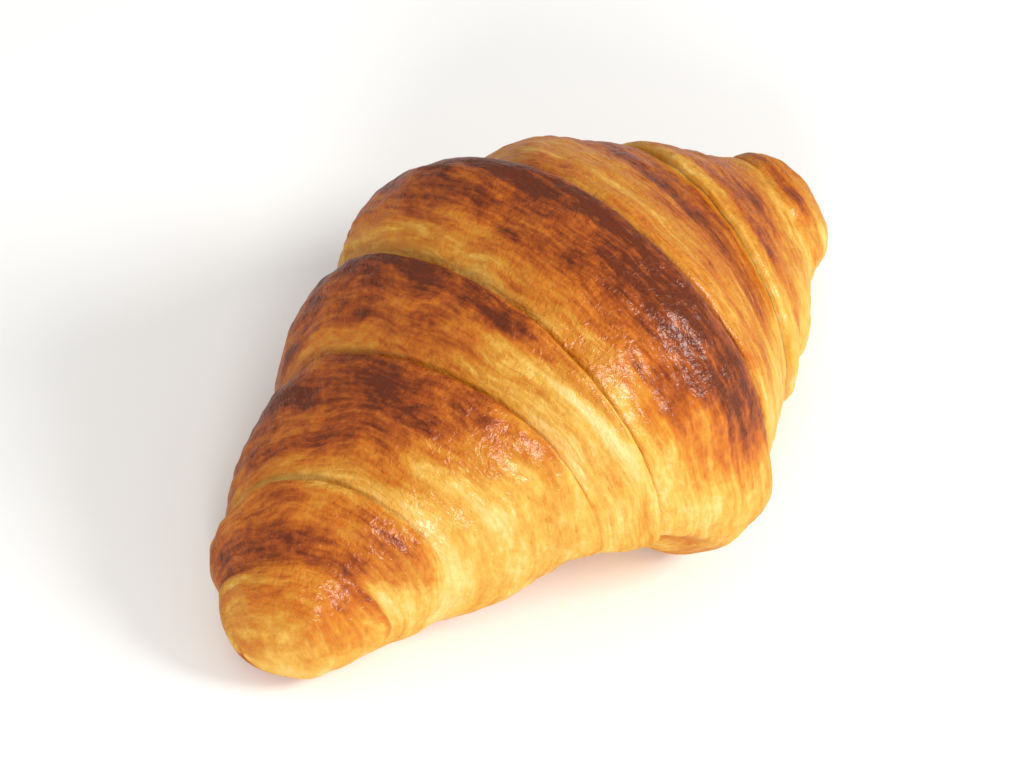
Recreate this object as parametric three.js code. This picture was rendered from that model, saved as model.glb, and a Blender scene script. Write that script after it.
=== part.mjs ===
// A baked croissant: one rolled triangle of laminated dough, lying on its flat underside.
// Millimetres, +Z up. X runs along the roll, from the slim tip at -X to the blunt tip at +X.
// The front is -Y, where the tongue of the roll is tucked under. The origin lies on the ground,
// under the middle of the croissant's box.
import * as THREE from 'three';
import { mergeVertices } from 'three/addons/utils/BufferGeometryUtils.js';

// Driving dimensions, in millimetres
const HALF_LENGTH = 66.5;
const TIP_ROUNDING = 9; // length of the round end at each tip
const TIP_FADE = 6; // the steps die away over this length before each tip
const GROOVE_DEPTH = 1.8; // of the grooves between the windings, below the smooth roll
const SHALLOW = 0.6; // share of that depth by the slim tip and beyond the widest winding
const TONGUE_BULGE = 4; // of the tongue, at the front of the widest winding
const TUCK_DEPTH = 6; // of the underside in front, where the roll pulls in beside the tongue
const TIP_TUCK_DEPTH = 3; // of the underside in front, below the blunt tip
const RIGHT_FRONT_SWELL = 0.3; // in front, beyond the widest winding
const BACK_HOLLOW = 2.6; // depth of the hollow at the back, beyond the widest winding

// Notches low in front, where the last two windings begin
const FRONT_NOTCHES = [
  { middle: 37, width: 3.5, deepest: 2.6 },
  { middle: 52, width: 5, deepest: 3.4 },
];

// Shape of the cross section
const WIDEST_LEVEL = 0.42; // share of the height at which the roll is widest
const UNDERSIDE_BULGE = 1.12; // over 1, so that the ground cuts the underside off flat

const FACES_AROUND = 52;
const MERGE_DISTANCE = 1e-4;

// The smooth roll without its steps: place along X, half width, height, and shift to the back
const ROLL = [
  [-66.5, 9.4, 16.0, 4.0],
  [-60.5, 12.8, 19.4, 4.0],
  [-51.0, 17.8, 27.0, 5.0],
  [-38.5, 23.8, 36.8, 3.6],
  [-26.0, 30.8, 45.6, 2.0],
  [-13.0, 36.4, 54.6, -0.2],
  [0.0, 39.8, 60.6, -0.6],
  [13.0, 36.8, 57.0, -0.4],
  [26.0, 33.0, 50.2, 1.4],
  [38.5, 27.2, 42.8, 1.7],
  [51.0, 17.9, 34.8, -0.9],
  [60.5, 12.3, 30.8, -1.1],
  [66.5, 9.2, 29.0, -0.8],
];
const HALF_WIDTH = 1;
const HEIGHT = 2;
const SHIFT = 3;

// Grooves between the windings, from the slim tip to the blunt one. Each runs around the roll
// at x = middle + lean * sin(angle) + arch * cos(angle), with the angle 0 on top, 90 in front
// and 180 under the roll.
const GROOVES = [
  { middle: -55.4, lean: 5.6, arch: -1.2 },
  { middle: -49.1, lean: 8.0, arch: 2.7 },
  { middle: -28.5, lean: 8.2, arch: 2.2 },
  { middle: -13.6, lean: 1.2, arch: 0.4 },
  { middle: 11.1, lean: 1.8, arch: -1.0 },
  { middle: 35.4, lean: -4.8, arch: 1.2 },
  { middle: 53.5, lean: -4.0, arch: 1.5 },
];

// The windings between those grooves. Each has a steep side, which faces the middle of the roll,
// and slopes down from its crest towards its tip. A lower crest value brings the crest nearer to
// the steep side, and at the back it grows by shift. In front the step fades out between the
// angles fades[0] and fades[1], to the share in keep. Low is how much lower it is at the back.
const WINDINGS = [
  { rows: 9, step: 1.4, crest: 0.7, shift: 0, keep: 0.2, fades: [38, 86], low: 0 },
  { rows: 7, step: 2.8, crest: 0.6, shift: 0, keep: 0.2, fades: [38, 86], low: 0 },
  { rows: 12, step: 3.6, crest: 0.45, shift: 0.3, keep: 0.2, fades: [38, 86], low: 0 },
  { rows: 10, step: 4.4, crest: 0.45, shift: 0.6, keep: 0.2, fades: [38, 86], low: 0 },
  { rows: 14, step: 4.2, crest: 0.42, shift: 1.4, keep: 0.6, fades: [60, 95], low: 0.3 },
  { rows: 12, step: 2.8, crest: 0.6, shift: 0.6, keep: 0.2, fades: [95, 130], low: 0.8 },
  { rows: 9, step: 2.4, crest: 0.6, shift: 0.4, keep: 0.2, fades: [95, 130], low: 0.8 },
  { rows: 9, step: 1.2, crest: 0.6, shift: 0, keep: 0.2, fades: [95, 130], low: 0.9 },
];
const WIDEST = 4; // the last winding laid, which ends in the tongue
const ROWS = WINDINGS.reduce((sum, winding) => sum + winding.rows, 0);

// Goes from 0 to 1 as value goes from one limit to the other, smoothly at both
function ramp(from, to, value) {
  return THREE.MathUtils.smoothstep((value - from) / (to - from), 0, 1);
}

// Is 1 between two slopes, one going up and one going down
function plateau(up, down, value) {
  return ramp(up[0], up[1], value) * (1 - ramp(down[0], down[1], value));
}

// A smooth curve through one column of ROLL
function rollValue(column, x) {
  let i = 0;
  while (i < ROLL.length - 2 && x > ROLL[i + 1][0]) i += 1;
  const slope = (a, b) => (ROLL[b][column] - ROLL[a][column]) / (ROLL[b][0] - ROLL[a][0]);
  const slopeBefore = slope(Math.max(i - 1, 0), i + 1);
  const slopeAfter = slope(i, Math.min(i + 2, ROLL.length - 1));
  const span = ROLL[i + 1][0] - ROLL[i][0];
  const t = (x - ROLL[i][0]) / span;
  const ends = THREE.MathUtils.lerp(ROLL[i][column], ROLL[i + 1][column], t * t * (3 - 2 * t));
  return ends + span * t * (1 - t) * ((1 - t) * slopeBefore - t * slopeAfter);
}

function grooveX(index, angle) {
  if (index < 0) return -HALF_LENGTH;
  if (index >= GROOVES.length) return HALF_LENGTH;
  const groove = GROOVES[index];
  return groove.middle + groove.lean * Math.sin(angle) + groove.arch * Math.cos(angle);
}

// The winding that a row of faces lies on, and how far across it the row is, from 0 at its
// steep side to 1 at the foot of its slope
function rowPlace(row) {
  let winding = 0;
  let first = 0;
  while (row > first + WINDINGS[winding].rows) {
    first += WINDINGS[winding].rows;
    winding += 1;
  }
  const along = (row - first) / WINDINGS[winding].rows;
  return { winding, across: winding <= WIDEST ? 1 - along : along };
}

// Rows lie closer together by the steep side of a winding, and at the round end of each tip
function rowX(winding, across, angle) {
  const sides = [grooveX(winding - 1, angle), grooveX(winding, angle)];
  const [foot, steep] = winding <= WIDEST ? sides : [sides[1], sides[0]];
  const atTip = winding === 0 || winding === WINDINGS.length - 1;
  const spread = atTip ? 1 - (1 - across) ** 2 : across ** 1.5;
  return THREE.MathUtils.lerp(steep, foot, spread);
}

// How far the surface stands out from the smooth roll
function stepHeight(winding, across, x, angle) {
  const degrees = THREE.MathUtils.radToDeg(angle);
  const { step, crest, shift, keep, fades, low } = WINDINGS[winding];
  const hump = step * Math.sin(Math.PI * across ** (crest + shift * ramp(0, 70, -degrees))) ** 0.8;
  const inFront = 1 - (1 - keep) * ramp(fades[0], fades[1], degrees);
  const atBack = 1 - low * ramp(20, 80, -degrees);
  const below = 1 - ramp(115, 160, Math.abs(degrees));
  const depth = winding <= 1 || winding > WIDEST ? SHALLOW * GROOVE_DEPTH : GROOVE_DEPTH;
  let height = (hump - depth) * inFront * atBack * below;

  const atTongueFoot = winding === WIDEST && across === 1;
  if (winding < WIDEST || atTongueFoot) {
    const nearTongue = ramp(-36, -14, x);
    const start = 55 + 36 * nearTongue;
    const underFront = plateau([start, start + 45 - 27 * nearTongue], [140, 165], degrees);
    const towardsTongue = ramp(-52, -38, x) * (0.25 + 0.75 * ramp(-34, -16, x));
    height -= TUCK_DEPTH * towardsTongue * underFront;
  } else if (winding === WIDEST) {
    const out = ramp(-12, 2, x);
    height += TONGUE_BULGE * out * plateau([74, 110], [134, 156], degrees);
    height -= TUCK_DEPTH * (1 - out) * plateau([90, 106], [134, 156], degrees);
  } else {
    height += RIGHT_FRONT_SWELL * plateau([35, 60], [95, 120], degrees);
    const besideWidest = Math.exp(-(((x - 11) / 6) ** 2));
    height -= BACK_HOLLOW * plateau([15, 45], [90, 130], -degrees) * besideWidest;
    for (const { middle, width, deepest } of FRONT_NOTCHES) {
      const nearMiddle = Math.exp(-(((x - middle) / width) ** 2));
      height -= deepest * nearMiddle * plateau([60, 95], [130, 155], degrees);
    }
  }
  height -= TIP_TUCK_DEPTH * ramp(46, 62, x) * plateau([60, 100], [150, 170], degrees);
  return height * THREE.MathUtils.clamp((HALF_LENGTH - Math.abs(x)) / TIP_FADE, 0, 1);
}

function surfacePoint(row, angle) {
  const { winding, across } = rowPlace(row);
  const x = rowX(winding, across, angle);
  const fromTip = THREE.MathUtils.clamp((HALF_LENGTH - Math.abs(x)) / TIP_ROUNDING, 0, 1);
  const roundEnd = Math.sqrt(1 - (1 - fromTip) ** 2);
  const level = WIDEST_LEVEL * rollValue(HEIGHT, x);
  const up = Math.cos(angle);
  const front = Math.sin(angle);
  const reach = up > 0 ? rollValue(HEIGHT, x) - level : UNDERSIDE_BULGE * level;
  const step = stepHeight(winding, across, x, angle);
  const y = rollValue(SHIFT, x) - front * (rollValue(HALF_WIDTH, x) * roundEnd + step);
  const z = level + up * (reach * roundEnd + step);
  return new THREE.Vector3(x, y, Math.max(z, 0));
}

// The rows of a ball run around the roll, so a ball gives the faces, with its poles at the tips
function croissantGeometry() {
  const ball = new THREE.SphereGeometry(1, FACES_AROUND, ROWS);
  ball.deleteAttribute('normal');
  ball.deleteAttribute('uv');
  const position = ball.getAttribute('position');
  for (let i = 0; i < position.count; i += 1) {
    const column = i % (FACES_AROUND + 1);
    const row = (i - column) / (FACES_AROUND + 1);
    const angle = Math.PI * (1 - (2 * column) / FACES_AROUND);
    const point = surfacePoint(row, angle);
    position.setXYZ(i, point.x, point.y, point.z);
  }
  const geometry = mergeVertices(ball, MERGE_DISTANCE);
  geometry.computeBoundingBox();
  const box = geometry.boundingBox;
  geometry.translate(0, -(box.min.y + box.max.y) / 2, 0);
  geometry.computeVertexNormals();
  return geometry;
}

const crust = new THREE.MeshStandardMaterial({ color: 0xb8691f, roughness: 0.5, metalness: 0 });
const croissant = new THREE.Mesh(croissantGeometry(), crust);
croissant.name = 'croissant';

const root = new THREE.Group();
root.add(croissant);

export default root;
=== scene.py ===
"""A baked croissant with its stepped windings and egg-washed crust, on a plain studio floor."""

import math

import bmesh
import bpy
import numpy as np
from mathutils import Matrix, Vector, noise


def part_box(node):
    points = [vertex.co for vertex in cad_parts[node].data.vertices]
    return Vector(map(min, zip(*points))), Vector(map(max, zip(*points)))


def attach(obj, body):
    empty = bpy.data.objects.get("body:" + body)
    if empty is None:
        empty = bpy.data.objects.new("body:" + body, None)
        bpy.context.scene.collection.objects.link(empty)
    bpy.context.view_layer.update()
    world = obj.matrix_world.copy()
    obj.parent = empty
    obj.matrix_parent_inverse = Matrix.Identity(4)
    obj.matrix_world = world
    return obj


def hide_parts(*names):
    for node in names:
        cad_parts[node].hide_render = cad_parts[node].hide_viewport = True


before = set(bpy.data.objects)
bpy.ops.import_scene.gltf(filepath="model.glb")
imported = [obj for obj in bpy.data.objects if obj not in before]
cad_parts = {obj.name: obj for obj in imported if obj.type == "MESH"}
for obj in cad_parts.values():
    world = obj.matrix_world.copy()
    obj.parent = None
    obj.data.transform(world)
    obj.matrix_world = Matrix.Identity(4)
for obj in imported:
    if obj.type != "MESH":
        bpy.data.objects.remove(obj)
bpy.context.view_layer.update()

bl_info = {
    "name": "Croissant",
    "version": (1, 0, 0),
    "blender": (4, 5, 0),
    "location": "3D View > Sidebar > Croissant",
    "description": "Makes a baked croissant of rolled, layered dough and a plain studio stage",
    "category": "Add Mesh",
}

MM = 0.001
NODE = "croissant"
BODY = "root"

# Sizes are in millimetres and angles in degrees. The half length of the roll comes from the frame.
HALF_LENGTH = (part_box(NODE)[1].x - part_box(NODE)[0].x) / 2 / MM

# The smooth roll without its steps: place along X, half width, height, and shift to the back
ROLL = np.array([
    (-66.5, 9.4, 16.0, 4.0),
    (-60.5, 12.8, 19.4, 4.0),
    (-51.0, 17.8, 27.0, 5.0),
    (-38.5, 23.8, 36.8, 3.6),
    (-26.0, 30.8, 45.6, 2.0),
    (-13.0, 36.4, 54.6, -0.2),
    (0.0, 39.8, 60.6, -0.6),
    (13.0, 36.8, 57.0, -0.4),
    (26.0, 33.0, 50.2, 1.4),
    (38.5, 27.2, 42.8, 1.7),
    (51.0, 17.9, 34.8, -0.9),
    (60.5, 12.3, 30.8, -1.1),
    (66.5, 9.2, 29.0, -0.8),
])
HALF_WIDTH, HEIGHT, SHIFT = 1, 2, 3
WIDEST_LEVEL = 0.42  # share of the height at which the roll is widest
UNDERSIDE_BULGE = 1.12  # over 1, so that the ground cuts the underside off flat
SOFT_EDGE = 1.6  # the underside rounds off into the ground over twice this height

TIP_ROUNDING = 9  # length of the round end at each tip
TIP_FADE = 6  # the steps die away over this length before each tip
LUMP_FADE = 2.5  # and the lumps and wrinkles over this one
SHALLOW = 0.6  # share of the groove depth by the slim tip and beyond the widest winding
TONGUE_BULGE = 4  # of the tongue, at the front of the widest winding
CREASE_DEPTH = 7  # of the crease at the side of the tongue
CREASE_START = -13  # where it begins along X, at the foot of the widest winding
CREASE_TOP = 92  # the angle of its upper edge there
CREASE_FALL = 1.3  # degrees by which that edge lies lower, for each millimetre towards the tongue
TUCK_DEPTH = 5  # of the underside in front, where the roll pulls in beside the tongue
TIP_TUCK_DEPTH = 3  # of the underside in front, below the blunt tip
RIGHT_FRONT_SWELL = 0.3  # in front, beyond the widest winding
BACK_HOLLOW = 2.6  # depth of the hollow at the back, beyond the widest winding

# Grooves between the windings, from the slim tip to the blunt one, as in the CAD model: each
# runs round the roll at x = middle + lean * sin(angle) + arch * cos(angle), where the angle is 0
# on top, 90 in front and 180 below.
GROOVES = (
    (-55.4, 5.6, -1.2),
    (-49.1, 8.0, 2.7),
    (-28.5, 8.2, 2.2),
    (-13.6, 1.2, 0.4),
    (11.1, 1.8, -1.0),
    (35.4, -4.8, 1.2),
    (53.5, -4.0, 1.5),
)

# Notches low in front, where the last two windings begin
FRONT_NOTCHES = (
    dict(middle=37, width=3.5, deepest=2.6),
    dict(middle=52, width=5, deepest=3.4),
)

# The windings between the grooves. "step" is how far the crest stands out, "crest" is lower when
# it lies nearer to the steep side, and it grows by "shift" at the back, where the step is lower by
# the share "low". "keep" is the share of the step left in front, where it fades between the two
# angles of "fades". "layers" is how many cut layers show on the slope. "toast" is how brown the
# crust is, from 0, pale, to 1, darkest, at even places from the steep side to the foot of the
# slope, and it grows pale in front between the two angles of "pales".
WINDINGS = (
    dict(rows=38, step=1.4, crest=0.70, shift=0.0, low=0.0, keep=0.2, fades=(38, 86), layers=4,
         toast=(0.74, 0.58, 0.48, 0.44, 0.50, 0.56, 0.48, 0.46, 0.52, 0.48, 0.46),
         pales=(50, 125)),
    dict(rows=32, step=2.8, crest=0.60, shift=0.0, low=0.0, keep=0.2, fades=(38, 86), layers=2,
         toast=(0.28, 0.46, 0.64, 0.68, 0.64, 0.66, 0.70, 0.76, 0.82, 0.86, 0.84),
         pales=(48, 88)),
    dict(rows=52, step=3.6, crest=0.45, shift=0.3, low=0.0, keep=0.2, fades=(38, 86), layers=6,
         toast=(0.78, 0.90, 0.95, 0.91, 0.86, 0.80, 0.78, 0.74, 0.60, 0.22, 0.28),
         pales=(8, 58)),
    dict(rows=42, step=4.4, crest=0.45, shift=0.6, low=0.0, keep=0.2, fades=(38, 86), layers=5,
         toast=(0.76, 0.93, 0.97, 0.92, 0.82, 0.77, 0.82, 0.76, 0.62, 0.56, 0.60),
         pales=(0, 56)),
    dict(rows=76, step=4.2, crest=0.42, shift=1.4, low=0.3, keep=0.6, fades=(60, 95), layers=7,
         toast=(0.86, 0.96, 0.99, 0.96, 0.91, 0.86, 0.78, 0.68, 0.50, 0.34, 0.40),
         pales=(58, 102)),
    dict(rows=56, step=2.8, crest=0.60, shift=0.6, low=0.8, keep=0.2, fades=(95, 130), layers=5,
         toast=(0.60, 0.48, 0.46, 0.52, 0.50, 0.54, 0.74, 0.81, 0.83, 0.76, 0.34),
         pales=(48, 90)),
    dict(rows=44, step=2.4, crest=0.60, shift=0.4, low=0.8, keep=0.2, fades=(95, 130), layers=5,
         toast=(0.26, 0.48, 0.74, 0.73, 0.64, 0.67, 0.70, 0.60, 0.50, 0.46, 0.46),
         pales=(38, 84)),
    dict(rows=40, step=1.2, crest=0.60, shift=0.0, low=0.9, keep=0.2, fades=(95, 130), layers=3,
         toast=(0.36, 0.66, 0.78, 0.66, 0.40, 0.52, 0.46, 0.40, 0.38, 0.36, 0.36),
         pales=(30, 84)),
)
WIDEST = 4  # the last winding laid, which ends in the tongue
FACES_AROUND = 256

# How the browning differs from the toast of the windings
FRONT_PALING = 0.76  # share of the brown that is lost low in front
FRONT_TOAST = 0.05  # the least toast there
SLOPE_LEAD = 22  # the foot of a slope grows pale this many degrees above the steep side
CREST_SHARE = 0.3  # about where the crests lie, from the steep side to the foot of the slope
SPLIT_PALING = 0.38  # toast lost along the split in the skin beside the widest winding
SPLIT_START = -19.2  # place of that split along X, on top
SPLIT_LEAN = 0.085  # millimetres that it runs towards the tongue, for each degree
SPLIT_WIDTH = 0.9
CREASE_PAINTED_SHADE = 0.7  # painted shade: toast added in the crease beside the tongue, darkening it where shade falls
BACK_PALING = 0.35  # share of the brown that is lost down the back
UNDERSIDE_TOAST = 0.58

# Uneven browning, from the finest streaks to the broadest blotches: pitch across the layers, run
# along them, and how much each adds to the toast or takes from it
BROWNING = (
    dict(pitch=0.6, run=4, detail=2.5, roughness=0.6, strength=0.10),
    dict(pitch=1.1, run=1.6, detail=2.0, roughness=0.6, strength=0.08),
    dict(pitch=1.8, run=13, detail=2.0, roughness=0.5, strength=0.14),
    dict(pitch=5.5, run=9, detail=2.5, roughness=0.5, strength=0.13),
)


def linear(hex_colour):
    """The linear RGB of an sRGB hex colour."""
    channels = [int(hex_colour[i:i + 2], 16) / 255 for i in (1, 3, 5)]
    return [c / 12.92 if c <= 0.04045 else ((c + 0.055) / 1.055) ** 2.4 for c in channels]


def ramp(start, end, value):
    """Goes from 0 to 1 as value goes from start to end, smoothly at both."""
    t = np.clip((value - start) / (end - start), 0, 1)
    return t * t * (3 - 2 * t)


def plateau(up, down, value):
    """Is 1 between two slopes, one going up and one going down."""
    return ramp(up[0], up[1], value) * (1 - ramp(down[0], down[1], value))


def hill(value, middle, width):
    """Is 1 at the middle and falls away smoothly on both sides."""
    return np.exp(-((value - middle) / width) ** 2)


def smooth_curve(places, values, x):
    """A smooth curve through a few stations."""
    i = np.clip(np.searchsorted(places, x, side="left") - 1, 0, len(places) - 2)
    before, after = np.maximum(i - 1, 0), np.minimum(i + 2, len(places) - 1)
    slope_before = (values[i + 1] - values[before]) / (places[i + 1] - places[before])
    slope_after = (values[after] - values[i]) / (places[after] - places[i])
    span = places[i + 1] - places[i]
    t = (x - places[i]) / span
    ends = values[i] + (values[i + 1] - values[i]) * t * t * (3 - 2 * t)
    return ends + span * t * (1 - t) * ((1 - t) * slope_before - t * slope_after)


def roll_value(column, x):
    """The half width, height or shift of the smooth roll at these places along it."""
    return smooth_curve(ROLL[:, 0], ROLL[:, column], x)


def groove_x(index, angle):
    """Where a groove lies along X at each angle. It wanders a little on its way round."""
    if index < 0:
        return np.full_like(angle, -HALF_LENGTH)
    if index >= len(GROOVES):
        return np.full_like(angle, HALF_LENGTH)
    middle, lean, arch = GROOVES[index]
    wander = 0.5 * np.sin(2 * angle + 1.7 * index) + 0.25 * np.sin(5 * angle + 2.3 * index)
    return middle + lean * np.sin(angle) + arch * np.cos(angle) + wander


def cloud(points, size, seed):
    """Smooth noise from about -1 to 1, with lumps of the given size in millimetres."""
    offset = Vector((seed * 17.3, seed * 5.9, seed * 11.1))
    return np.array([noise.noise(Vector(p) / size + offset) for p in points])


class Surface:
    """Every point of the croissant, worked out from the rows and columns of a ball's vertices."""

    def __init__(self, row, angle, shape):
        self.angle = angle
        self.degrees = np.degrees(angle)
        self.shape = shape
        self.place_rows(row)
        self.place_across()
        self.raise_steps()
        self.shape_sides()
        self.wrap()

    def place_rows(self, row):
        """The winding that each row lies on, and how far across it the row is."""
        ends = np.cumsum([winding["rows"] for winding in WINDINGS])
        self.winding = np.minimum(np.searchsorted(ends, row, side="left"), len(WINDINGS) - 1)
        count = self.per_winding("rows")
        along = (row - (ends[self.winding] - count)) / count
        self.across = np.where(self.winding <= WIDEST, 1 - along, along)

    def per_winding(self, key):
        """One value of each point's winding."""
        return np.array([winding[key] for winding in WINDINGS], float)[self.winding]

    def place_across(self):
        """Places along X. Rows lie closer together by the steep side and at the tips."""
        at_tip = (self.winding == 0) | (self.winding == len(WINDINGS) - 1)
        self.share = np.where(at_tip, 1 - (1 - self.across) ** 2, self.across ** 1.5)
        self.x = self.between_grooves(self.angle)
        # The layer of dough that a point lies on, the same all round the roll
        self.layer = self.between_grooves(np.zeros_like(self.angle))

    def between_grooves(self, angle):
        """Each point's place between its two grooves, where these lie at the given angle."""
        grooves = np.array([groove_x(i, angle) for i in range(-1, len(GROOVES) + 1)])
        points = np.arange(len(angle))
        low, high = grooves[self.winding, points], grooves[self.winding + 1, points]
        inner_first = self.winding <= WIDEST
        steep, foot = np.where(inner_first, high, low), np.where(inner_first, low, high)
        return steep + (foot - steep) * self.share

    def raise_steps(self):
        """How far each winding stands out from the smooth roll, with the grooves between them."""
        degrees = self.degrees
        # At the back the crests lie further from the steep side
        crest = self.per_winding("crest") + self.per_winding("shift") * ramp(0, 70, -degrees)
        hump = self.per_winding("step") * np.sin(np.pi * self.across ** crest).clip(0) ** 0.8
        keep = self.per_winding("keep")
        fades = np.array([winding["fades"] for winding in WINDINGS], float)[self.winding]
        in_front = 1 - (1 - keep) * ramp(fades[:, 0], fades[:, 1], degrees)
        at_back = 1 - self.per_winding("low") * ramp(20, 80, -degrees)
        below = 1 - ramp(115, 160, np.abs(degrees))
        shallow = (self.winding <= 1) | (self.winding > WIDEST)
        depth = np.where(shallow, SHALLOW, 1) * self.shape.groove_depth / MM
        self.height = (hump - depth) * in_front * at_back * below

    def shape_sides(self):
        """The tucks, the tongue with its crease, the notches, and the hollow at the back."""
        degrees, x, height = self.degrees, self.x, self.height
        widest = self.winding == WIDEST
        right = self.winding > WIDEST
        right_front = plateau((35, 60), (95, 120), degrees)
        height += np.where(right, RIGHT_FRONT_SWELL * right_front, 0)
        # The roll is tucked in under the front on the slim side, and under the blunt tip
        near_tongue = ramp(-36, -14, x)
        start = 55 + 36 * near_tongue
        under_front = ramp(0, 1, (degrees - start) / (45 - 27 * near_tongue))
        under_front *= 1 - ramp(140, 165, degrees)
        towards_tongue = ramp(-52, -38, x) * (0.3 + 0.9 * ramp(-34, -16, x))
        slim_side = (self.winding < WIDEST) | (widest & (self.across == 1))
        height -= np.where(slim_side, TUCK_DEPTH * towards_tongue * under_front, 0)
        height -= TIP_TUCK_DEPTH * ramp(46, 62, x) * plateau((60, 100), (150, 170), degrees)
        # The tongue stands out, and the crease at its side runs down towards it
        out = ramp(-12, 2, x)
        bulge = TONGUE_BULGE * out * plateau((74, 110), (134, 156), degrees)
        self.below_crease = degrees - CREASE_TOP - CREASE_FALL * (x - CREASE_START).clip(0)
        crease = ramp(0, 11, self.below_crease) * (1 - ramp(134, 156, degrees))
        crease = CREASE_DEPTH * (1 - out) * crease
        height += np.where(widest & ~slim_side, bulge - crease, 0)
        # A hollow at the back, beyond the widest winding
        hollow = plateau((15, 45), (90, 130), -degrees) * hill(x, 11, 6)
        height -= np.where(right, BACK_HOLLOW * hollow, 0)
        low_in_front = plateau((60, 95), (130, 155), degrees)
        for notch in FRONT_NOTCHES:
            pressed = hill(x, notch["middle"], notch["width"]) * low_in_front
            height -= np.where(right, notch["deepest"] * pressed, 0)
        self.to_tip = ((HALF_LENGTH - np.abs(x)) / TIP_FADE).clip(0, 1)
        self.height = height * self.to_tip

    def wrap(self):
        """Puts the points around the roll, with its underside flat on the ground."""
        x, angle = self.x, self.angle
        from_tip = ((HALF_LENGTH - np.abs(x)) / TIP_ROUNDING).clip(0, 1)
        round_end = np.sqrt(1 - (1 - from_tip) ** 2)
        level = WIDEST_LEVEL * roll_value(HEIGHT, x)
        up, front = np.cos(angle), np.sin(angle)
        reach = np.where(up > 0, roll_value(HEIGHT, x) - level, UNDERSIDE_BULGE * level)
        half_width = roll_value(HALF_WIDTH, x) * round_end
        smooth = np.stack([x, -front * half_width, up * reach * round_end], axis=1)
        step = self.roughen(smooth)
        y = roll_value(SHIFT, x) - front * (half_width + step)
        z = level + up * (reach * round_end + step)
        settled = (z + SOFT_EDGE) ** 2 / (4 * SOFT_EDGE)
        z = np.where(z > SOFT_EDGE, z, np.where(z < -SOFT_EDGE, 0, settled))
        self.points = np.stack([x, y, z], axis=1)

    def roughen(self, smooth):
        """The height of the surface with its lumps, its terraces of cut layers and its wrinkles."""
        whole = ((HALF_LENGTH - np.abs(self.x)) / LUMP_FADE).clip(0, 1)
        side = 1 - ramp(120, 155, np.abs(self.degrees))
        lumps = cloud(smooth, size=21, seed=1) + 0.55 * cloud(smooth, size=9, seed=2)
        lumps += 0.45 * cloud(smooth * (1, 0.7, 0.7), size=4.2, seed=8)
        height = self.height + self.shape.lumps / MM * lumps * whole * (0.4 + 0.6 * side)

        # Each terrace rises slowly towards the foot of the slope, and drops off at its end
        phase = self.share * self.per_winding("layers") + 0.5 * cloud(smooth, size=16, seed=3)
        terrace = phase - np.floor(phase)
        terrace = terrace - ramp(0.82, 1.0, terrace)
        patchy = ramp(-0.35, 0.35, cloud(smooth * (1, 0.45, 0.45), size=8, seed=4))
        slope = ramp(0.22, 0.5, self.share)
        terraces = terrace * patchy * slope * side
        height = height + self.shape.layer_height / MM * terraces * self.to_tip

        wrinkles = cloud(smooth * (1, 0.8, 0.8), size=2.4, seed=6)
        wrinkles = wrinkles + 0.4 * cloud(smooth, size=1.2, seed=7)
        return height + self.shape.wrinkles / MM * wrinkles * whole * side

    def toast(self):
        """How brown the crust is at each point, from 0, pale, to 1, darkest, with painted shade in
        the crease beside the tongue.
        """
        degrees = self.degrees + 8 * cloud(self.points, size=8, seed=5) * self.to_tip
        table = np.array([winding["toast"] for winding in WINDINGS])
        place = self.share.clip(0, 1) * (table.shape[1] - 1)
        first = np.minimum(place.astype(int), table.shape[1] - 2)
        t = place - first
        t = t * t * (3 - 2 * t)
        own = table[self.winding, first] * (1 - t) + table[self.winding, first + 1] * t
        # In front it grows pale, the slopes higher up than the crests
        start, end = np.array([winding["pales"] for winding in WINDINGS], float)[self.winding].T
        lead = SLOPE_LEAD * (self.share - CREST_SHARE)
        fade = ramp(0, 1, (degrees + lead - start) / (end - start))
        own = own * (1 - FRONT_PALING * fade) + FRONT_TOAST * fade
        # A split in the skin draws a thin pale line along the crest beside the widest winding
        split = hill(self.x - SPLIT_LEAN * self.degrees.clip(0), SPLIT_START, SPLIT_WIDTH)
        own -= SPLIT_PALING * split * plateau((-12, 14), (52, 74), self.degrees)
        # Painted shade: toast is added in the crease beside the tongue, darkening it where shade
        # falls
        shade_beside_tongue = (self.winding == WIDEST) * (1 - ramp(-12, 3, self.x))
        own += CREASE_PAINTED_SHADE * shade_beside_tongue * plateau((0, 6), (10, 28), self.below_crease)
        # The back is a little paler down its side, and the underside browns on the tray
        own = own * (1 - BACK_PALING * ramp(60, 110, -degrees))
        under = ramp(128, 150, np.abs(degrees))
        return own * (1 - under) + UNDERSIDE_TOAST * under


def croissant_mesh(shape):
    """Shapes a ball of the right count of rows into the croissant, and returns its mesh."""
    rows = sum(winding["rows"] for winding in WINDINGS)
    ball = bmesh.new()
    bmesh.ops.create_uvsphere(ball, u_segments=FACES_AROUND, v_segments=rows, radius=1)
    unit = np.array([vertex.co for vertex in ball.verts])
    row = np.round(np.arccos(unit[:, 2].clip(-1, 1)) / math.pi * rows)
    surface = Surface(row, np.arctan2(unit[:, 1], unit[:, 0]), shape)
    middle = (surface.points[:, 1].min() + surface.points[:, 1].max()) / 2
    surface.points[:, 1] -= middle
    values = {"layer": surface.layer * MM, "toast": surface.toast()}
    stores = {name: ball.verts.layers.float.new(name) for name in values}
    for index, vertex in enumerate(ball.verts):
        vertex.co = surface.points[index] * MM
        for name, store in stores.items():
            vertex[store] = values[name][index]
    bmesh.ops.recalc_face_normals(ball, faces=ball.faces)
    for face in ball.faces:
        face.smooth = True
    mesh = bpy.data.meshes.new(NODE + "_crust")
    ball.to_mesh(mesh)
    ball.free()
    return mesh


def add_node(tree, kind, links=None, **settings):
    """Adds a node, sets its properties, and links or sets the inputs named in links."""
    node = tree.nodes.new(kind)
    for name, value in settings.items():
        setattr(node, name, value)
    for socket, source in (links or {}).items():
        if isinstance(source, bpy.types.NodeSocket):
            tree.links.new(source, node.inputs[socket])
        else:
            node.inputs[socket].default_value = source
    return node


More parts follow.
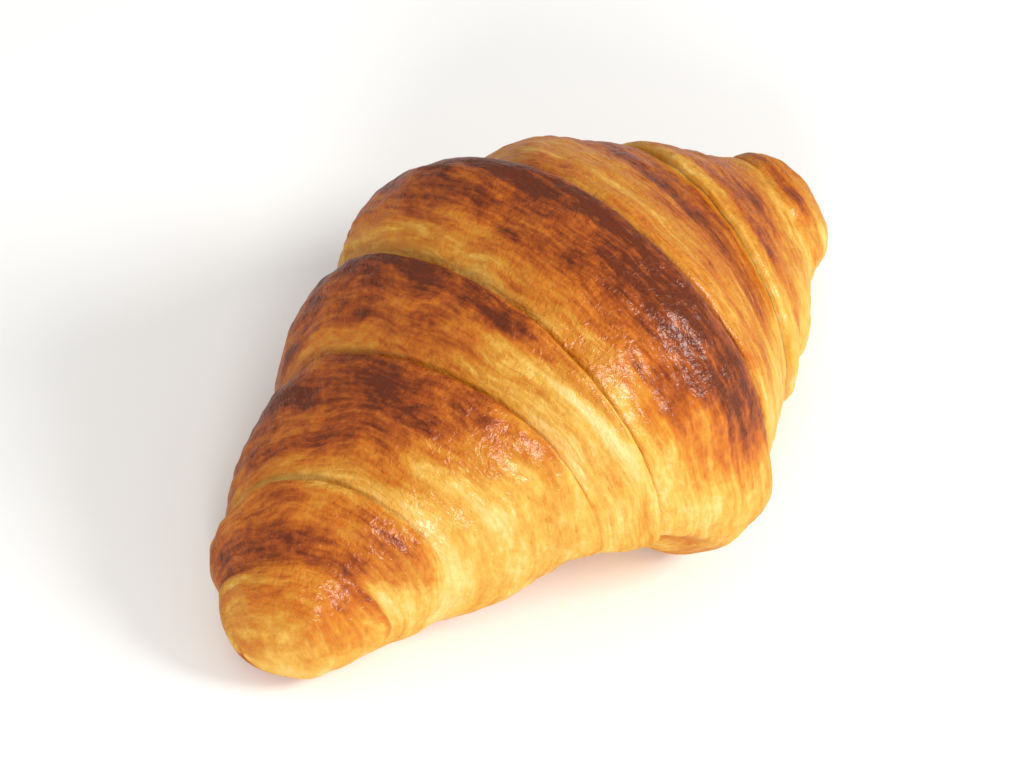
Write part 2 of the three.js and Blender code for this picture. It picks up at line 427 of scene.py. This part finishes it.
def arithmetic(tree, operation, *values):
    """The result of one arithmetic node."""
    node = add_node(tree, "ShaderNodeMath", dict(enumerate(values)), operation=operation)
    return node.outputs[0]


def spread(tree, value, before, after):
    """Maps the range before to the range after, and stops at its ends."""
    return add_node(tree, "ShaderNodeMapRange", {
        "Value": value, "From Min": before[0], "From Max": before[1],
        "To Min": after[0], "To Max": after[1]}).outputs[0]


def streaks(tree, axes, layer, pattern):
    """Noise from -1 to 1, drawn out along the layers."""
    across = arithmetic(tree, "MULTIPLY", layer, 1 / (pattern["pitch"] * MM))
    along = [arithmetic(tree, "MULTIPLY", axes[name], 1 / (pattern["run"] * MM))
             for name in ("Y", "Z")]
    vector = add_node(tree, "ShaderNodeCombineXYZ",
                      {"X": across, "Y": along[0], "Z": along[1]}).outputs[0]
    found = add_node(tree, "ShaderNodeTexNoise", {
        "Vector": vector, "Scale": 1.0, "Detail": pattern["detail"],
        "Roughness": pattern["roughness"]}).outputs["Fac"]
    return spread(tree, found, (0.3, 0.7), (-1.0, 1.0))


def crust_browning(tree, place):
    """How brown each point is, and the finest of the streaks in it."""
    axes = add_node(tree, "ShaderNodeSeparateXYZ", {"Vector": place}).outputs
    layer = add_node(tree, "ShaderNodeAttribute", attribute_name="layer").outputs["Fac"]
    toast = add_node(tree, "ShaderNodeAttribute", attribute_name="toast").outputs["Fac"]
    # The layers wander a little across the windings
    wander = add_node(tree, "ShaderNodeTexNoise", {
        "Vector": place, "Scale": 1 / (18 * MM), "Detail": 1.0}).outputs["Fac"]
    layer = arithmetic(tree, "MULTIPLY_ADD", wander, 5.0 * MM, layer)
    found = [streaks(tree, axes, layer, pattern) for pattern in BROWNING]
    uneven = 0.0
    for streak, pattern in zip(found, BROWNING):
        uneven = arithmetic(tree, "MULTIPLY_ADD", streak, pattern["strength"], uneven)
    # Pale crust is the most even
    calm = spread(tree, toast, (0.05, 0.45), (0.42, 1.0))
    return arithmetic(tree, "MULTIPLY_ADD", uneven, calm, toast), found[0]


def crust_colour(tree, crust, brown):
    """The colour of the crust, from cream to mahogany."""
    colours = add_node(tree, "ShaderNodeValToRGB", {"Fac": brown})
    steps = (
        (0.0, crust.cream), (0.22, crust.straw), (0.42, crust.gold),
        (0.62, crust.orange), (0.82, crust.brown), (1.0, crust.mahogany),
    )
    band = colours.color_ramp
    band.elements[0].position = steps[0][0]
    band.elements[0].color = (*steps[0][1], 1)
    band.elements[1].position = steps[-1][0]
    band.elements[1].color = (*steps[-1][1], 1)
    for position, colour in steps[1:-1]:
        band.elements.new(position).color = (*colour, 1)
    return colours.outputs["Color"]


def crust_relief(tree, place, brown, fine):
    """The fine relief of the dull crust, and that of the glossy film on it."""
    wrinkles = add_node(tree, "ShaderNodeTexNoise", {
        "Vector": place, "Scale": 1 / (0.9 * MM), "Detail": 2.0, "Roughness": 0.5,
        "Distortion": 0.6}).outputs["Fac"]
    # The skin wrinkles most where it dried and browned
    dried = spread(tree, brown, (0.3, 0.8), (0.65, 1.0))
    ridges = add_node(tree, "ShaderNodeBump", {
        "Height": fine, "Distance": 0.05 * MM, "Strength": 1.0}).outputs["Normal"]
    relief = add_node(tree, "ShaderNodeBump", {
        "Height": wrinkles, "Distance": 0.5 * MM, "Strength": dried,
        "Normal": ridges}).outputs["Normal"]
    film = add_node(tree, "ShaderNodeBump", {
        "Height": wrinkles, "Distance": 0.2 * MM, "Strength": dried}).outputs["Normal"]
    return relief, film


def crust_material(crust):
    """Baked butter dough brushed with egg: thin cut layers draw streaks along the windings, from
    pale cream in the grooves to mahogany on the crests, under a thin, wrinkled, glossy skin."""
    material = bpy.data.materials.new("egg_washed_butter_crust")
    material.use_nodes = True
    tree = material.node_tree
    tree.nodes.clear()
    place = add_node(tree, "ShaderNodeTexCoord").outputs["Object"]
    brown, fine = crust_browning(tree, place)
    relief, film = crust_relief(tree, place, brown, fine)
    # Seen along the surface, the dull crumbs hide the glossy film
    facing = add_node(tree, "ShaderNodeLayerWeight", {"Blend": 0.5}).outputs["Facing"]
    shader = add_node(tree, "ShaderNodeBsdfPrincipled", {
        "Base Color": crust_colour(tree, crust, brown),
        "Roughness": spread(tree, brown, (0.2, 0.9), (0.56, 0.34)),
        "Normal": relief, "IOR": 1.4,
        "Specular IOR Level": 0.1, "Specular Tint": (1, 0.72, 0.45, 1),
        "Coat Weight": spread(tree, facing, (0.2, 0.65), (0.55, 0.04)),
        "Coat Roughness": 0.17, "Coat IOR": 1.45, "Coat Normal": film})
    add_node(tree, "ShaderNodeOutputMaterial", {"Surface": shader.outputs["BSDF"]})
    return material


def plain_material(name, colour, roughness):
    """A plain matt surface for the stage."""
    material = bpy.data.materials.new(name)
    material.use_nodes = True
    shader = material.node_tree.nodes["Principled BSDF"]
    shader.inputs["Base Color"].default_value = (*colour, 1)
    shader.inputs["Roughness"].default_value = roughness
    shader.inputs["Specular IOR Level"].default_value = 0.1
    return material


def direction(azimuth, elevation):
    """The unit vector from the croissant towards a place at these angles, 0 being in front."""
    return Vector((
        math.sin(azimuth) * math.cos(elevation),
        -math.cos(azimuth) * math.cos(elevation),
        math.sin(elevation),
    ))


def link(thing):
    """Puts an object in the scene, and returns it."""
    bpy.context.scene.collection.objects.link(thing)
    return thing


def colour_setting(name, hex_colour, description):
    return bpy.props.FloatVectorProperty(
        name=name, description=description, default=linear(hex_colour), subtype="COLOR",
        size=3, min=0, max=1)


def length_setting(name, millimetres, description):
    return bpy.props.FloatProperty(
        name=name, description=description, default=millimetres * MM, unit="LENGTH",
        min=0, precision=5)


def angle_setting(name, degrees, description):
    return bpy.props.FloatProperty(
        name=name, description=description, default=math.radians(degrees), subtype="ANGLE")


class CroissantShape(bpy.types.PropertyGroup):
    groove_depth: length_setting("Groove depth", 1.8, "Depth of the grooves between windings")
    lumps: length_setting("Lumps", 0.7, "How far the baked dough swells out of true")
    wrinkles: length_setting("Wrinkles", 0.28, "How far the dried skin wrinkles")
    layer_height: length_setting("Layer height", 0.5, "Height of the cut layers on the slopes")


class CroissantCrust(bpy.types.PropertyGroup):
    cream: colour_setting("Cream", "#ecca82", "Crust that hardly browned, low in front")
    straw: colour_setting("Straw", "#dba848", "Lightly baked crust in the grooves")
    gold: colour_setting("Gold", "#c88428", "Evenly baked crust on the slopes")
    orange: colour_setting("Orange", "#bd6718", "Crust near the crests")
    brown: colour_setting("Brown", "#984510", "Crust on the crests")
    mahogany: colour_setting("Mahogany", "#62270b", "The darkest crust, on the highest crest")


class CroissantStage(bpy.types.PropertyGroup):
    azimuth: angle_setting("Camera azimuth", -47.6, "Turn of the camera round the croissant")
    elevation: angle_setting("Camera elevation", 48, "Height of the camera above the horizon")
    distance: length_setting("Camera distance", 679, "From the camera to the croissant's middle")
    lens: bpy.props.FloatProperty(
        name="Lens", description="Focal length", default=142.7, subtype="DISTANCE_CAMERA")
    aim: bpy.props.FloatVectorProperty(
        name="Middle", description="The point that the camera circles", size=3,
        default=(0, 1.2 * MM, 21.3 * MM), subtype="TRANSLATION")
    sideways: length_setting("Sideways", 4.7, "How far the camera aims to the side of the middle")
    light_distance: length_setting("Light distance", 900, "From the lights to the middle")
    surroundings: bpy.props.FloatProperty(
        name="Surroundings", description="Brightness of the white surroundings", default=0.63)
    floor: colour_setting("Floor", "#fbfaf7", "The floor's colour")


class CROISSANT_OT_stage(bpy.types.Operator):
    """Adds the floor, the lights and the camera"""

    bl_idname = "croissant.stage"
    bl_label = "Add the stage"

    def execute(self, context):
        stage = context.scene.croissant_stage
        self.add_camera(stage)
        self.add_lights(stage)
        self.add_floor(stage)
        return {"FINISHED"}

    def add_camera(self, stage):
        data = bpy.data.cameras.new("camera")
        data.lens = stage.lens
        camera = link(bpy.data.objects.new("camera", data))
        middle = Vector(stage.aim)
        camera.location = middle + direction(stage.azimuth, stage.elevation) * stage.distance
        right = Vector((math.cos(stage.azimuth), math.sin(stage.azimuth), 0))
        towards = middle - right * stage.sideways - camera.location
        camera.rotation_euler = towards.to_track_quat("-Z", "Y").to_euler()
        bpy.context.scene.camera = camera

    def add_lights(self, stage):
        # Angles in degrees, sizes in metres and powers in watts
        lights = (
            dict(name="key_light", azimuth=-50, elevation=28, size=0.28, power=4.0),
            dict(name="side_light", azimuth=30, elevation=34, size=0.34, power=5.6),
        )
        for light in lights:
            data = bpy.data.lights.new(light["name"], "AREA")
            data.shape = "DISK"
            data.size = light["size"]
            data.energy = light["power"]
            lamp = link(bpy.data.objects.new(light["name"], data))
            facing = direction(math.radians(light["azimuth"]), math.radians(light["elevation"]))
            lamp.location = Vector(stage.aim) + facing * stage.light_distance
            lamp.rotation_euler = facing.to_track_quat("Z", "Y").to_euler()
        world = bpy.data.worlds.new("studio")
        world.use_nodes = True
        glow = world.node_tree.nodes["Background"].inputs
        glow["Color"].default_value = (1, 1, 1, 1)
        glow["Strength"].default_value = stage.surroundings
        bpy.context.scene.world = world
        bpy.context.scene.view_settings.view_transform = "Standard"

    def add_floor(self, stage):
        shape = bmesh.new()
        bmesh.ops.create_grid(shape, x_segments=1, y_segments=1, size=3)
        mesh = bpy.data.meshes.new("floor")
        shape.to_mesh(mesh)
        shape.free()
        mesh.materials.append(plain_material("matt_white_paper", stage.floor, 0.9))
        link(bpy.data.objects.new("floor", mesh))


class CROISSANT_OT_croissant(bpy.types.Operator):
    """Adds the croissant, one rolled piece of baked dough"""

    bl_idname = "croissant.croissant"
    bl_label = "Add the croissant"

    def execute(self, context):
        mesh = croissant_mesh(context.scene.croissant_shape)
        mesh.materials.append(crust_material(context.scene.croissant_crust))
        piece = link(bpy.data.objects.new("croissant_roll", mesh))
        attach(piece, BODY)
        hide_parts(NODE)
        return {"FINISHED"}


class CROISSANT_PT_panel(bpy.types.Panel):
    """The croissant's settings, in the 3D view's sidebar"""

    bl_label = "Croissant"
    bl_idname = "CROISSANT_PT_panel"
    bl_space_type = "VIEW_3D"
    bl_region_type = "UI"
    bl_category = "Croissant"

    def draw(self, context):
        scene = context.scene
        groups = (
            (scene.croissant_shape, CROISSANT_OT_croissant),
            (scene.croissant_crust, None),
            (scene.croissant_stage, CROISSANT_OT_stage),
        )
        for settings, operator in groups:
            box = self.layout.box()
            for name in settings.__annotations__:
                box.prop(settings, name)
            if operator:
                box.operator(operator.bl_idname)


SETTINGS = {
    "croissant_shape": CroissantShape,
    "croissant_crust": CroissantCrust,
    "croissant_stage": CroissantStage,
}
CLASSES = (
    *SETTINGS.values(),
    CROISSANT_OT_stage,
    CROISSANT_OT_croissant,
    CROISSANT_PT_panel,
)


def register():
    for kind in CLASSES:
        bpy.utils.register_class(kind)
    for name, kind in SETTINGS.items():
        setattr(bpy.types.Scene, name, bpy.props.PointerProperty(type=kind))


def unregister():
    for name in SETTINGS:
        delattr(bpy.types.Scene, name)
    for kind in reversed(CLASSES):
        bpy.utils.unregister_class(kind)


def main():
    register()
    bpy.ops.croissant.stage()
    bpy.ops.croissant.croissant()


if __name__ == "__main__":
    main()
